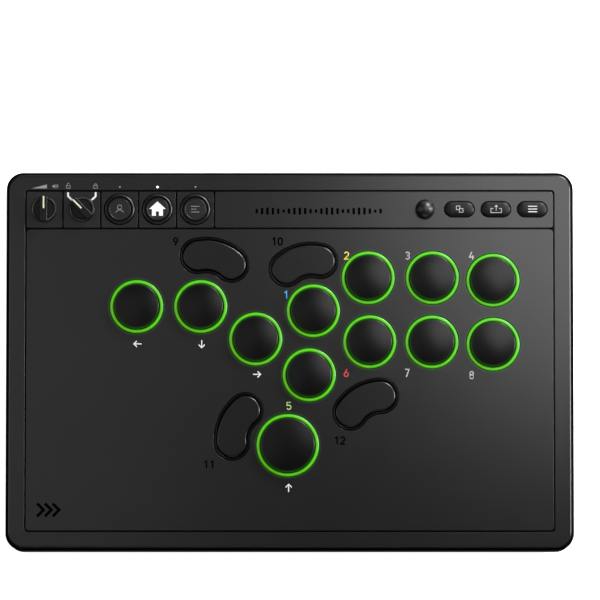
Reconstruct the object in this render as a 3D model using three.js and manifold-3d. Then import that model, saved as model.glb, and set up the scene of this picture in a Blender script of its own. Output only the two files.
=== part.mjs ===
// An all-button arcade controller: a slim desktop case with twelve lit round buttons, four kidney-shaped
// function buttons, and a control strip along the back edge with two knobs, three round buttons, a mini
// thumb stick and three oblong buttons.
// Units are millimetres. +X points right and +Y points away from the player, towards the control strip.
// +Z points up, and the origin is on the desk, under the middle of the case.
import * as THREE from "three";
import { mergeVertices } from "three/addons/utils/BufferGeometryUtils.js";
import Module from "manifold-3d";

const wasm = await Module();
wasm.setup();

// ---- driving dimensions ---------------------------------------------------------------------------------

const WIDTH = 300;
const DEPTH = 200;
const CORNER_R = 9; // of the case's outline
const GAP = 0.3; // between pieces that touch
const ROUND = 16; // facets of a round piece
const SMALL_ROUND = 10; // and of a post, pin or hole

// Heights, from the desk up.
const CASE_Z = 2.5; // underside of the lower case
const FLOOR_Z = 5; // inside of its floor
const PARTING_Z = 24; // top of its walls
const BOARD_Z = 21.7;
const BOARD_TOP = BOARD_Z + 1.6;
const LEDGE_Z = 28.7; // underside of the ledge that the panels lie on
const LEDGE_TOP = 30.7;
const PANEL_Z = 31; // underside of the panels
const TOP_Z = 33; // the flat top of the panels and the frame

const WALL = 2.4;
const EDGE_R = 1.4; // rounding of the frame's upper outer edge
const CASE_CHAMFER = 2;

// The opening in the frame, and the panels in it with a groove all round them.
const OPENING_X = 140;
const OPENING_Y = 90.5;
const LEDGE = 2.6; // reach of the ledge under the panels' edges
const BACK_LEDGE = 1.6;
const CROSS_BAR_HALF = 1.3; // half the width of the ledge under the groove between strip and panel
const GROOVE = 0.9;
const SPLIT_Y = 70.1; // middle of the groove between the control strip and the button panel
const STRIP_END_X = -40; // middle of the groove between the control strip and the plain strip
const STRIP_Y = 80.3; // the line that the strip's controls stand on
const TILE = 20; // pitch of the strip's five square tiles

// Round buttons: a cap in a collar of the light guide, in a hole in the panel.
const CAP_GAP = 0.45;
const COLLAR_WALL = 1.85;
const COLLAR_RISE = 0.15; // above the panel
const SMALL_CAP_R = 11.8;
const LARGE_CAP_R = 14.25;
const PRESS = 3; // travel of a round cap, which brings its edge level with the panel
const ROUND_BUTTONS = [
  { name: "left", x: -80.9, y: 28.7, r: SMALL_CAP_R },
  { name: "down", x: -47.1, y: 28.7, r: SMALL_CAP_R },
  { name: "right", x: -18.0, y: 11.5, r: SMALL_CAP_R },
  { name: "up", x: -1.1, y: -44.7, r: LARGE_CAP_R },
  { name: "action_1", x: 12.4, y: 26.4, r: SMALL_CAP_R },
  { name: "action_2", x: 41.4, y: 43.9, r: SMALL_CAP_R },
  { name: "action_3", x: 75.3, y: 43.9, r: SMALL_CAP_R },
  { name: "action_4", x: 107.3, y: 42.6, r: SMALL_CAP_R },
  { name: "action_5", x: 10.2, y: -7.5, r: SMALL_CAP_R },
  { name: "action_6", x: 42.2, y: 10.0, r: SMALL_CAP_R },
  { name: "action_7", x: 75.0, y: 9.9, r: SMALL_CAP_R },
  { name: "action_8", x: 107.3, y: 8.7, r: SMALL_CAP_R },
];

// Kidney buttons: a band bent round a centre at x, y, with its middle in the direction turn.
const BAND_R = 20;
const BAND_HALF_ANGLE = 27.3;
const RECESS_HALF = 9.7; // half the width of the recess in the panel
const SLOT_HALF = 8.2; // of the hole in its floor
const KIDNEY_HALF = 7.75; // of the cap
const FLANGE_HALF = 9;
const KIDNEY_PRESS = 1;
const KIDNEYS = [
  { name: "function_1", x: -44.3, y: 36.0, turn: 75.5 },
  { name: "function_2", x: 11.3, y: 33.4, turn: 103.5 },
  { name: "function_3", x: -10.6, y: -41.7, turn: 157 },
  { name: "function_4", x: 48.5, y: -38.6, turn: 118.6 },
];

// Controls of the strip.
const VOLUME_X = -130;
const LOCK_X = -110;
const MENU_ROUNDS = [
  { name: "profile_button", x: -90 },
  { name: "home_button", x: -70 },
  { name: "macro_button", x: -50 },
];
const MENU_CAP_R = 8;
const PILLS = [
  { name: "view_button", x: 89.7 },
  { name: "share_button", x: 108.95 },
  { name: "menu_button", x: 128.2 },
];
const PILL_LENGTH = 15.6;
const PILL_WIDTH = 8;
const MENU_CLEARANCE = 0.35;
const TACT_TOP = BOARD_TOP + 3.5; // top of the small switches under the menu and kidney buttons
const STICK_X = 71.6;
const STICK_Y = 80.2;
const STICK_PIVOT_Z = 27;
const STICK_HOLE_R = 4.3;
const KNOB_R = 6.5;
const LIGHT_DOT_Y = 92.1;
const LIGHT_DOT_R = 0.85;

// Below the panels.
const SCREW_X = 144.4;
const SCREW_Y = 72;
const SCREW = { headR: 2.6, headZ: 3.9, headTopZ: 5.7, shankR: 1.3, tipZ: 30.9, holeR: 1.6 };
const FOOT_X = 118;
const FOOT_Y = 78;
const FOOT = { length: 34, width: 14 };
const USB = { x: 70, z: 19.8, width: 8.94, height: 3.2 };
const JACK = { x: -118, z: 17.6, r: 3, boreR: 1.8 };
const STANDOFFS = [-125, 0, 125].flatMap((x) => [-74, 66].map((y) => ({ x, y })));

// ---- outlines, as lists of points -----------------------------------------------------------------------

const radians = THREE.MathUtils.degToRad;

// Points along an arc, angles in degrees.
function arc(x, y, r, from, to, steps) {
  const points = [];
  for (let i = 0; i <= steps; i++) {
    const a = radians(from + ((to - from) * i) / steps);
    points.push(new THREE.Vector2(x + r * Math.cos(a), y + r * Math.sin(a)));
  }
  return points;
}

function circle(x, y, r, facets = ROUND) {
  return arc(x, y, r, 0, 360, facets).slice(0, -1);
}

// A rectangle between two corners, whose own corners are rounded from the lower left one, counterclockwise.
function rounded(x0, y0, x1, y1, radii, steps = 4) {
  const [a, b, c, d] = Array.isArray(radii) ? radii : [radii, radii, radii, radii];
  return [
    ...arc(x0 + a, y0 + a, a, 180, 270, steps),
    ...arc(x1 - b, y0 + b, b, 270, 360, steps),
    ...arc(x1 - c, y1 - c, c, 0, 90, steps),
    ...arc(x0 + d, y1 - d, d, 90, 180, steps),
  ];
}

function centred(width, depth, r, steps = 4) {
  return rounded(-width / 2, -depth / 2, width / 2, depth / 2, r, steps);
}

function rectangle(x0, y0, x1, y1) {
  return [[x0, y0], [x1, y0], [x1, y1], [x0, y1]].map(([x, y]) => new THREE.Vector2(x, y));
}

// An oblong with round ends, lying along X.
function oblong(x, y, length, width, steps = 6) {
  const reach = (length - width) / 2;
  return [
    ...arc(x + reach, y, width / 2, -90, 90, steps),
    ...arc(x - reach, y, width / 2, 90, 270, steps),
  ];
}

// A band of the given half width, bent round the kidney's centre, with round ends.
function kidney({ x, y, turn }, half) {
  const first = turn - BAND_HALF_ANGLE;
  const last = turn + BAND_HALF_ANGLE;
  const end = (angle) => new THREE.Vector2(BAND_R, 0).rotateAround(new THREE.Vector2(), radians(angle));
  const [start, finish] = [end(first), end(last)];
  return [
    ...arc(x, y, BAND_R + half, first, last, 6),
    ...arc(x + finish.x, y + finish.y, half, last, last + 180, 6).slice(1),
    ...arc(x, y, BAND_R - half, last, first, 3).slice(1),
    ...arc(x + start.x, y + start.y, half, first + 180, first + 360, 6).slice(1, -1),
  ];
}

// ---- solids ---------------------------------------------------------------------------------------------

// A closed geometry as a manifold-3d solid.
function solid(geometry) {
  const bare = geometry.index ? geometry.toNonIndexed() : geometry.clone();
  bare.deleteAttribute("normal");
  bare.deleteAttribute("uv");
  const merged = mergeVertices(bare, 1e-4);
  return new wasm.Manifold(
    new wasm.Mesh({
      numProp: 3,
      vertProperties: merged.attributes.position.array,
      triVerts: new Uint32Array(merged.index.array),
    }),
  );
}

function geometryOf(made) {
  const mesh = made.getMesh();
  const geometry = new THREE.BufferGeometry();
  geometry.setAttribute("position", new THREE.BufferAttribute(mesh.vertProperties, 3));
  geometry.setIndex(new THREE.BufferAttribute(mesh.triVerts, 1));
  geometry.computeVertexNormals();
  return geometry;
}

// An outline, with holes, raised from z0 to z1.
function prism(outline, z0, z1, holes = []) {
  const shape = new THREE.Shape(outline);
  shape.holes = holes.map((points) => new THREE.Path(points));
  const geometry = new THREE.ExtrudeGeometry(shape, { depth: z1 - z0, bevelEnabled: false });
  return solid(geometry.translate(0, 0, z0));
}

// An outline raised from z0 to z1 whose upper and lower edges are rounded in steps, or chamfered in one.
function pillow(outline, z0, z1, edge, steps) {
  const geometry = new THREE.ExtrudeGeometry(new THREE.Shape(outline), {
    depth: z1 - z0 - 2 * edge,
    bevelThickness: edge,
    bevelSize: edge,
    bevelOffset: -edge,
    bevelSegments: steps,
  });
  return solid(geometry.translate(0, 0, z0 + edge));
}

// A profile of [radius, height] pairs from the axis round to the axis again, turned about a vertical line.
function turned(profile, x = 0, y = 0, facets = ROUND) {
  const points = profile.map(([r, z]) => new THREE.Vector2(r, z));
  const geometry = new THREE.LatheGeometry(points, facets);
  return solid(geometry.rotateX(Math.PI / 2).translate(x, y, 0));
}

function box(x0, y0, z0, x1, y1, z1) {
  return prism(rectangle(x0, y0, x1, y1), z0, z1);
}

function cylinder(x, y, r, z0, z1, facets = ROUND) {
  return prism(circle(x, y, r, facets), z0, z1);
}

// A round bar between two points of a line parallel to X or Y.
function bar(axis, x, y, z, r, from, to, facets = 12) {
  const geometry = new THREE.CylinderGeometry(r, r, to - from, facets);
  const middle = (from + to) / 2;
  if (axis === "x") geometry.rotateZ(Math.PI / 2).translate(x + middle, y, z);
  else geometry.translate(x, y + middle, z);
  return solid(geometry);
}

function join(pieces) {
  return pieces.reduce((whole, piece) => whole.add(piece));
}

function cut(body, tools) {
  return tools.reduce((left, tool) => left.subtract(tool), body);
}

// ---- materials ------------------------------------------------------------------------------------------

function finish(color, roughness, metalness = 0, more = {}) {
  return new THREE.MeshStandardMaterial({ color, roughness, metalness, ...more });
}

const MATERIAL = {
  case: finish(0x18191a, 0.55),
  frame: finish(0x2a2b2c, 0.45),
  panel: finish(0x2c2d2e, 0.42, 0.2),
  cap: finish(0x141414, 0.35),
  kidney: finish(0x232323, 0.5),
  knob: finish(0x101010, 0.4),
  guide: finish(0x6fe02a, 0.3, 0, { emissive: 0x3fb010 }),
  lamp: finish(0xf2f2f2, 0.3),
  rubber: finish(0x1c1c1c, 0.9),
  board: finish(0x123a22, 0.5),
  switch: finish(0x3a3a3c, 0.5),
  metal: finish(0xb8babd, 0.3, 1),
  battery: finish(0x4a5560, 0.5),
};

const controller = new THREE.Group();

function place(name, made, material) {
  const mesh = new THREE.Mesh(geometryOf(made), material);
  mesh.name = name;
  controller.add(mesh);
}

// ---- the case -------------------------------------------------------------------------------------------

// Lower case: a tray with a chamfered bottom edge, screw posts, board standoffs, foot recesses and ports.
function lowerCase() {
  const shell = pillow(centred(WIDTH, DEPTH, CORNER_R, 5), CASE_Z, PARTING_Z + 10, CASE_CHAMFER, 1);
  const inside = centred(WIDTH - 2 * WALL, DEPTH - 2 * WALL, CORNER_R - WALL, 5);
  const tray = cut(shell, [
    prism(inside, FLOOR_Z, PARTING_Z + 11),
    box(-WIDTH, -DEPTH, PARTING_Z, WIDTH, DEPTH, PARTING_Z + 20),
  ]);
  const posts = corners(SCREW_X, SCREW_Y).flatMap(([x, y]) => [
    cylinder(x, y, 4.2, FLOOR_Z - 0.5, 9, SMALL_ROUND),
    cylinder(x, y, 2.9, 8, LEDGE_Z - GAP, SMALL_ROUND),
  ]);
  const standoffs = STANDOFFS.map(({ x, y }) =>
    cylinder(x, y, 3, FLOOR_Z - 0.5, BOARD_Z - GAP, SMALL_ROUND),
  );
  const screwHoles = corners(SCREW_X, SCREW_Y).flatMap(([x, y]) => [
    cylinder(x, y, SCREW.headR + 0.4, CASE_Z - 1, SCREW.headTopZ + 0.3, SMALL_ROUND),
    cylinder(x, y, SCREW.holeR, FLOOR_Z, LEDGE_Z + 1, SMALL_ROUND),
  ]);
  const footRecesses = corners(FOOT_X, FOOT_Y).map(([x, y]) =>
    prism(oblong(x, y, FOOT.length + 2 * GAP, FOOT.width + 2 * GAP), CASE_Z - 1, CASE_Z + 1),
  );
  const backY = DEPTH / 2;
  const wellGap = 0.9;
  const usbWell = uprightOblong(
    USB.x,
    USB.z,
    USB.width + wellGap,
    USB.height + wellGap,
    backY - WALL - 1,
    backY + 1,
  );
  const usbDish = uprightOblong(USB.x, USB.z, 13, 6.6, backY - 0.9, backY + 1);
  const jackHole = bar("y", JACK.x, 0, JACK.z, JACK.r + 0.4, backY - WALL - 1, backY + 1, ROUND);
  const jackDish = bar("y", JACK.x, 0, JACK.z, JACK.r + 1.6, backY - 0.9, backY + 1, ROUND);
  return cut(join([tray, ...posts, ...standoffs]), [
    ...screwHoles,
    ...footRecesses,
    usbWell,
    usbDish,
    jackHole,
    jackDish,
  ]);
}

function corners(x, y) {
  return [[-x, -y], [x, -y], [x, y], [-x, y]];
}

// An oblong that stands up in the XZ plane, from y0 to y1.
function uprightOblong(x, z, length, width, y0, y1) {
  const shape = new THREE.Shape(oblong(0, 0, length, width));
  const geometry = new THREE.ExtrudeGeometry(shape, { depth: y1 - y0, bevelEnabled: false });
  return solid(geometry.rotateX(Math.PI / 2).translate(x, y1, z));
}

// Frame: the rim round the panels, a skirt that meets the lower case, and a ledge with a cross bar.
function frame() {
  const shell = pillow(centred(WIDTH, DEPTH, CORNER_R, 5), PARTING_Z - 6, TOP_Z, EDGE_R, 3);
  const inside = centred(WIDTH - 2 * WALL, DEPTH - 2 * WALL, CORNER_R - WALL, 5);
  const rim = cut(shell, [
    box(-WIDTH, -DEPTH, PARTING_Z - 10, WIDTH, DEPTH, PARTING_Z + 0.4),
    prism(inside, PARTING_Z - 8, LEDGE_Z),
    prism(centred(2 * OPENING_X, 2 * OPENING_Y, 2), LEDGE_Z - 1, TOP_Z + 1),
  ]);
  const ledge = prism(
    centred(2 * OPENING_X + 1, 2 * OPENING_Y + 1, 1),
    LEDGE_Z,
    LEDGE_TOP,
    [
      rectangle(-OPENING_X + LEDGE, -OPENING_Y + LEDGE, OPENING_X - LEDGE, SPLIT_Y - CROSS_BAR_HALF),
      rectangle(-OPENING_X + LEDGE, SPLIT_Y + CROSS_BAR_HALF, OPENING_X - LEDGE, OPENING_Y - BACK_LEDGE),
    ],
  );
  const screwHoles = corners(SCREW_X, SCREW_Y).map(([x, y]) =>
    cylinder(x, y, SCREW.holeR, LEDGE_Z - 1, SCREW.tipZ + 0.5, SMALL_ROUND),
  );
  const lampHoles = MENU_ROUNDS.map(({ x }) =>
    cylinder(x, LIGHT_DOT_Y, LIGHT_DOT_R + GAP, PARTING_Z, TOP_Z + 1, SMALL_ROUND),
  );
  return cut(join([rim, ledge]), [...screwHoles, ...lampHoles]);
}

// ---- the panels -----------------------------------------------------------------------------------------

const PANEL_X = OPENING_X - GROOVE;
const PANEL_Y = OPENING_Y - GROOVE;

function collarRadius(capRadius) {
  return capRadius + CAP_GAP + COLLAR_WALL;
}

// Steel button panel: round holes for the collars, and kidney recesses with a smaller slot in the floor.
function buttonPanel() {
  const plate = prism(
    rounded(-PANEL_X, -PANEL_Y, PANEL_X, SPLIT_Y - GROOVE / 2, [1.6, 1.6, 0.6, 0.6], 3),
    PANEL_Z,
    TOP_Z,
    [
      ...ROUND_BUTTONS.map(({ x, y, r }) => circle(x, y, collarRadius(r) + GAP)),
      ...KIDNEYS.map((k) => kidney(k, SLOT_HALF)),
    ],
  );
  return cut(plate, KIDNEYS.map((k) => prism(kidney(k, RECESS_HALF), TOP_Z - 1, TOP_Z + 1)));
}

// Control strip: five square tiles in one moulding, parted by grooves, with holes for the controls.
function controlStrip() {
  const right = STRIP_END_X - GROOVE / 2;
  const strip = prism(
    rounded(-PANEL_X, SPLIT_Y + GROOVE / 2, right, PANEL_Y, [0.6, 0.6, 0.6, 1.6], 3),
    PANEL_Z,
    TOP_Z,
    [
      circle(VOLUME_X, STRIP_Y, 3.8),
      circle(LOCK_X, STRIP_Y, 3.8),
      ...MENU_ROUNDS.map(({ x }) => circle(x, STRIP_Y, MENU_CAP_R + MENU_CLEARANCE)),
    ],
  );
  const grooves = [1, 2, 3, 4].map((i) => {
    const x = i * TILE - OPENING_X;
    return box(x - GROOVE / 2, SPLIT_Y, TOP_Z - 1, x + GROOVE / 2, OPENING_Y, TOP_Z + 1);
  });
  return cut(strip, grooves);
}

// Plain strip: a flat plate with the thumb stick's hole and the oblong buttons' holes.
function plainStrip() {
  const left = STRIP_END_X + GROOVE / 2;
  const pillHoles = PILLS.map(({ x }) =>
    oblong(x, STRIP_Y, PILL_LENGTH + 2 * MENU_CLEARANCE, PILL_WIDTH + 2 * MENU_CLEARANCE),
  );
  return prism(
    rounded(left, SPLIT_Y + GROOVE / 2, PANEL_X, PANEL_Y, [0.6, 0.6, 1.6, 0.6], 3),
    PANEL_Z,
    TOP_Z,
    [circle(STICK_X, STICK_Y, STICK_HOLE_R), ...pillHoles],
  );
}

// Light guide: a clear plate under the panel with a collar that rises round each round cap.
function lightGuide() {
  const plate = prism(rounded(-97, -63.5, 123.5, 60.5, 4, 2), LEDGE_Z, LEDGE_TOP);
  const collars = ROUND_BUTTONS.map(({ x, y, r }) =>
    cylinder(x, y, collarRadius(r), LEDGE_Z, TOP_Z + COLLAR_RISE),
  );
  const bores = ROUND_BUTTONS.map(({ x, y, r }) =>
    cylinder(x, y, r + CAP_GAP, LEDGE_Z - 1, TOP_Z + 1),
  );
  const slots = KIDNEYS.map((k) => prism(kidney(k, FLANGE_HALF + 0.5), LEDGE_Z - 1, LEDGE_TOP + 1));
  return cut(join([plate, ...collars]), [...bores, ...slots]);
}

// Three light pins on one bar, which shine through the frame above the round menu buttons.
function statusLights() {
  const pins = MENU_ROUNDS.map(({ x }) =>
    cylinder(x, LIGHT_DOT_Y, LIGHT_DOT_R, 27, TOP_Z + 0.05, SMALL_ROUND),
  );
  const first = MENU_ROUNDS[0].x;
  const last = MENU_ROUNDS[MENU_ROUNDS.length - 1].x;
  return join([box(first - 2, LIGHT_DOT_Y - 1.5, 26.4, last + 2, LIGHT_DOT_Y + 1.5, 28.2), ...pins]);
}

// ---- buttons --------------------------------------------------------------------------------------------

// Round cap: a thin skirt, a crowned top with a rounded edge, and a plunger down into its switch.
function roundCap({ x, y, r }) {
  const edgeZ = TOP_Z + PRESS;
  const crown = r === LARGE_CAP_R ? 1.9 : 1.6;
  return turned(
    [
      [0, 28.3],
      [2.6, 28.3],
      [2.6, 34.2],
      [r - 1.2, 34.2],
      [r - 1.2, 29.5],
      [r, 29.5],
      [r, edgeZ - 0.5],
      [r - 0.7, edgeZ + 0.2],
      [r * 0.6, edgeZ + crown * 0.7],
      [0, edgeZ + crown],
    ],
    x,
    y,
  );
}

// Low-profile key switch, which the cap's plunger enters from above.
function keySwitch({ x, y }) {
  const low = BOARD_TOP + GAP;
  const body = join([
    box(x - 7, y - 7, low, x + 7, y + 7, 27),
    box(x - 6, y - 6, 26.5, x + 6, y + 6, 28.8),
  ]);
  return cut(body, [cylinder(x, y, 3, 24.8, 30, SMALL_ROUND)]);
}

// Kidney cap: a flat top, a flange that keeps it under the panel, and a short plunger at its middle.
function kidneyCap(k) {
  const middle = kidneyMiddle(k);
  return join([
    prism(kidney(k, KIDNEY_HALF), 30, TOP_Z + 0.4),
    prism(kidney(k, FLANGE_HALF), 29.3, PANEL_Z - GAP),
    cylinder(middle.x, middle.y, 1.5, TACT_TOP + KIDNEY_PRESS + 0.2, 30, 8),
  ]);
}

function kidneyMiddle({ x, y, turn }) {
  const out = new THREE.Vector2(BAND_R, 0).rotateAround(new THREE.Vector2(), radians(turn));
  return { x: x + out.x, y: y + out.y };
}

// Round menu button: a raised rounded shoulder round a sunk face, held under the strip by two ears.
function menuRound({ x }) {
  const cap = turned(
    [
      [0, 28],
      [1.5, 28],
      [1.5, 29.3],
      [MENU_CAP_R, 29.3],
      [MENU_CAP_R, TOP_Z + 0.1],
      [MENU_CAP_R - 0.3, TOP_Z + 0.7],
      [MENU_CAP_R - 0.8, TOP_Z + 1],
      [MENU_CAP_R - 1.3, TOP_Z + 0.7],
      [MENU_CAP_R - 1.6, TOP_Z + 0.4],
      [0, TOP_Z + 0.4],
    ],
    x,
    STRIP_Y,
  );
  return join([cap, box(x - 9.3, STRIP_Y - 4, 29.3, x + 9.3, STRIP_Y + 4, PANEL_Z - GAP)]);
}

// Oblong menu button: a crowned oblong on a wider flange, with a short plunger.
function pillCap({ x }) {
  const top = TOP_Z + 1.4;
  return join([
    prism(oblong(x, STRIP_Y, PILL_LENGTH, PILL_WIDTH), 30, top - 0.8),
    pillow(oblong(x, STRIP_Y, PILL_LENGTH, PILL_WIDTH), 31, top, 1, 2),
    box(x - 9, STRIP_Y - 5, 29.3, x + 9, STRIP_Y + 5, PANEL_Z - GAP),
    cylinder(x, STRIP_Y, 1.5, 28, 30, 8),
  ]);
}

// ---- knobs and the thumb stick --------------------------------------------------------------------------

// Knob: a round base, a grip fin across it that points the way the knob is set, and a shaft into the part
// that it turns. The direction is in degrees from +X.
function knob(x, direction) {
  const base = turned(
    [
      [0, 27],
      [2, 27],
      [2, TOP_Z + 0.4],
      [KNOB_R, TOP_Z + 0.4],
      [KNOB_R, TOP_Z + 1.7],
      [KNOB_R - 0.5, TOP_Z + 2.2],
      [0, TOP_Z + 2.2],
    ],
    0,
    0,
  );
  const reach = KNOB_R - 0.15;
  const fin = box(-reach, -1.5, TOP_Z + 1.5, reach, 1.5, TOP_Z + 6.5);
  const trimmed = fin.intersect(cylinder(0, 0, reach, TOP_Z, TOP_Z + 8));
  return join([base, trimmed]).rotate([0, 0, direction]).translate([x, STRIP_Y, 0]);
}

// Potentiometer or rotary switch: a square body with a round bush that the knob's shaft turns in.
function rotaryPart(x) {
  const body = box(x - 5.5, STRIP_Y - 5.5, BOARD_TOP + GAP, x + 5.5, STRIP_Y + 5.5, 28.6);
  const bush = cylinder(x, STRIP_Y, 3.4, 28, 32.4, SMALL_ROUND);
  return cut(join([body, bush]), [cylinder(x, STRIP_Y, 2.35, 26.4, 34, SMALL_ROUND)]);
}

const GIMBAL = { outer: 5.6, inner: 3.6, half: 0.8 };

// The stick's housing: an open box with a bearing hole for the gimbal ring on each side.
function stickBase() {
  const body = box(STICK_X - 7, STICK_Y - 7, BOARD_TOP + GAP, STICK_X + 7, STICK_Y + 7, 29.1);
  return cut(body, [
    cylinder(STICK_X, STICK_Y, GIMBAL.outer + 0.4, 24.6, 30),
    bar("x", STICK_X, STICK_Y, STICK_PIVOT_Z, 0.9, -6.8, 6.8),
  ]);
}

// Gimbal ring: tilts about X in the housing, and carries the stick, which tilts about Y in it.
function stickGimbal() {
  const low = STICK_PIVOT_Z - GIMBAL.half;
  const high = STICK_PIVOT_Z + GIMBAL.half;
  const pins = bar("x", STICK_X, STICK_Y, STICK_PIVOT_Z, 0.6, -6.5, 6.5);
  const ring = join([cylinder(STICK_X, STICK_Y, GIMBAL.outer, low, high), pins]);
  return cut(ring, [
    cylinder(STICK_X, STICK_Y, GIMBAL.inner, low - 1, high + 1),
    bar("y", STICK_X, STICK_Y, STICK_PIVOT_Z, 0.55, -5, 5),
  ]);
}

// Thumb stick: a domed cap on a neck, with a cross pin that turns in the gimbal ring.
function thumbStick() {
  const stick = turned(
    [
      [0, 25.4],
      [1.8, 25.4],
      [1.8, 34.7],
      [4.6, 34.9],
      [5.1, 35.4],
      [4.8, 37],
      [3.7, 38.7],
      [2, 39.8],
      [0, 40.2],
    ],
    STICK_X,
    STICK_Y,
  );
  return join([stick, bar("y", STICK_X, STICK_Y, STICK_PIVOT_Z, 0.3, -4.6, 4.6, 8)]);
}

// ---- inside the case ------------------------------------------------------------------------------------

// Main board, with the small push switches of the kidney and menu buttons soldered to it.
function mainBoard() {
  const under = [
    ...KIDNEYS.map(kidneyMiddle),
    ...MENU_ROUNDS.map(({ x }) => ({ x, y: STRIP_Y })),
    ...PILLS.map(({ x }) => ({ x, y: STRIP_Y })),
  ];
  const tacts = under.map(({ x, y }) => box(x - 3, y - 3, BOARD_TOP - 0.3, x + 3, y + 3, TACT_TOP));
  return join([box(-136, -80, BOARD_Z, 136, 88, BOARD_TOP), ...tacts]);
}

function batteryPack() {
  return pillow(rectangle(29, -55, 91, -13), FLOOR_Z + GAP, 14, 1.5, 2);
}

// USB-C socket: an oblong metal shell round the tongue, open towards the back.
function usbSocket() {
  const mouth = DEPTH / 2 - 1;
  const shell = uprightOblong(USB.x, USB.z, USB.width, USB.height, mouth - 8, mouth);
  const slot = uprightOblong(USB.x, USB.z, USB.width - 0.6, USB.height - 0.6, mouth - 6.6, mouth + 1);
  const low = USB.z - 0.35;
  const tongue = box(USB.x - 3.3, mouth - 7.6, low, USB.x + 3.3, mouth - 1, low + 0.7);
  return join([cut(shell, [slot]), tongue]);
}

// Headset socket: a block under the board with a round barrel that reaches through the back wall.
function headsetJack() {
  const mouth = DEPTH / 2 - 1;
  const top = BOARD_Z - GAP;
  const block = box(JACK.x - 4.5, mouth - 15, JACK.z - 3.8, JACK.x + 4.5, mouth - 2, top);
  const barrel = bar("y", JACK.x, 0, JACK.z, JACK.r, mouth - 3, mouth, ROUND);
  const bore = bar("y", JACK.x, 0, JACK.z, JACK.boreR, mouth - 13.5, mouth + 1, SMALL_ROUND);
  return cut(join([block, barrel]), [bore]);
}

function caseScrew(x, y) {
  const { headR, headZ, headTopZ, shankR, tipZ } = SCREW;
  const profile = [
    [0, headZ],
    [headR, headZ],
    [headR, headTopZ],
    [shankR, headTopZ],
    [shankR, tipZ],
    [0, tipZ],
  ];
  return turned(profile, x, y, SMALL_ROUND);
}

function foot(x, y) {
  return pillow(oblong(x, y, FOOT.length, FOOT.width), 0, CASE_Z + 0.7, 0.5, 1);
}

// ---- assembly -------------------------------------------------------------------------------------------

place("lower_case", lowerCase(), MATERIAL.case);
place("top_frame", frame(), MATERIAL.frame);
place("button_panel", buttonPanel(), MATERIAL.panel);
place("control_strip", controlStrip(), MATERIAL.panel);
place("plain_strip", plainStrip(), MATERIAL.panel);
place("light_guide", lightGuide(), MATERIAL.guide);
place("status_lights", statusLights(), MATERIAL.lamp);

for (const button of ROUND_BUTTONS) {
  place(`cap_${button.name}`, roundCap(button), MATERIAL.cap);
  place(`switch_${button.name}`, keySwitch(button), MATERIAL.switch);
}
for (const k of KIDNEYS) place(`cap_${k.name}`, kidneyCap(k), MATERIAL.kidney);
for (const button of MENU_ROUNDS) place(button.name, menuRound(button), MATERIAL.cap);
for (const button of PILLS) place(button.name, pillCap(button), MATERIAL.cap);

place("volume_knob", knob(VOLUME_X, 90), MATERIAL.knob);
place("volume_potentiometer", rotaryPart(VOLUME_X), MATERIAL.metal);
place("lock_knob", knob(LOCK_X, 135), MATERIAL.knob);
place("lock_rotary_switch", rotaryPart(LOCK_X), MATERIAL.metal);
place("thumb_stick", thumbStick(), MATERIAL.cap);
place("thumb_stick_gimbal", stickGimbal(), MATERIAL.metal);
place("thumb_stick_base", stickBase(), MATERIAL.switch);

place("main_board", mainBoard(), MATERIAL.board);
place("battery_pack", batteryPack(), MATERIAL.battery);
place("usb_socket", usbSocket(), MATERIAL.metal);
place("headset_jack", headsetJack(), MATERIAL.switch);

corners(SCREW_X, SCREW_Y).forEach(([x, y], i) => {
  place(`case_screw_${i + 1}`, caseScrew(x, y), MATERIAL.metal);
});
corners(FOOT_X, FOOT_Y).forEach(([x, y], i) => {
  place(`rubber_foot_${i + 1}`, foot(x, y), MATERIAL.rubber);
});

export default controller;
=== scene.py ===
"""Looks of an all-button arcade controller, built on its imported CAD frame.

Shapes are written in millimetres and turned to metres when their mesh is made. +X is the player's right, +Y
points away from the player and +Z up.
"""

import math

import bpy
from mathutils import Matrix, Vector
from mathutils.geometry import tessellate_polygon


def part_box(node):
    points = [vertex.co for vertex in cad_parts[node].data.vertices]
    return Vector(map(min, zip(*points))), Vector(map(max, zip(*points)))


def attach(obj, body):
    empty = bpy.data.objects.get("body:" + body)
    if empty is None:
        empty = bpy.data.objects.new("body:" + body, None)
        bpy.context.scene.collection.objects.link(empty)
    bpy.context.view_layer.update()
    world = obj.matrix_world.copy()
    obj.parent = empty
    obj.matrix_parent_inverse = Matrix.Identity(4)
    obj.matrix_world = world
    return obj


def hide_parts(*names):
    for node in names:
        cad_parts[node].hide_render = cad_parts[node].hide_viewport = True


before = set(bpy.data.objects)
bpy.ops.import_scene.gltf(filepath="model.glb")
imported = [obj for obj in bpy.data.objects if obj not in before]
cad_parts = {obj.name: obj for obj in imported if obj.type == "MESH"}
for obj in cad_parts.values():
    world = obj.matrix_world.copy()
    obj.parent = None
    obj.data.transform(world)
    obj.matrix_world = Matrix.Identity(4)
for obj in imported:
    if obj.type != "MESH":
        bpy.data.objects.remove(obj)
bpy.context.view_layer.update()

MM = 0.001


# ---- places and sizes from the frame --------------------------------------------------------------------


def low(node):
    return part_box(node)[0] / MM


def high(node):
    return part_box(node)[1] / MM


def middle(node):
    return (low(node) + high(node)) / 2


def radius(node):
    return (high(node).x - low(node).x) / 2


ROUND_CAPS = [f"cap_{way}" for way in ("left", "down", "right", "up")]
ROUND_CAPS += [f"cap_action_{k}" for k in range(1, 9)]
MENU_ROUNDS = ["profile_button", "home_button", "macro_button"]
PILLS = ["view_button", "share_button", "menu_button"]

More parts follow.
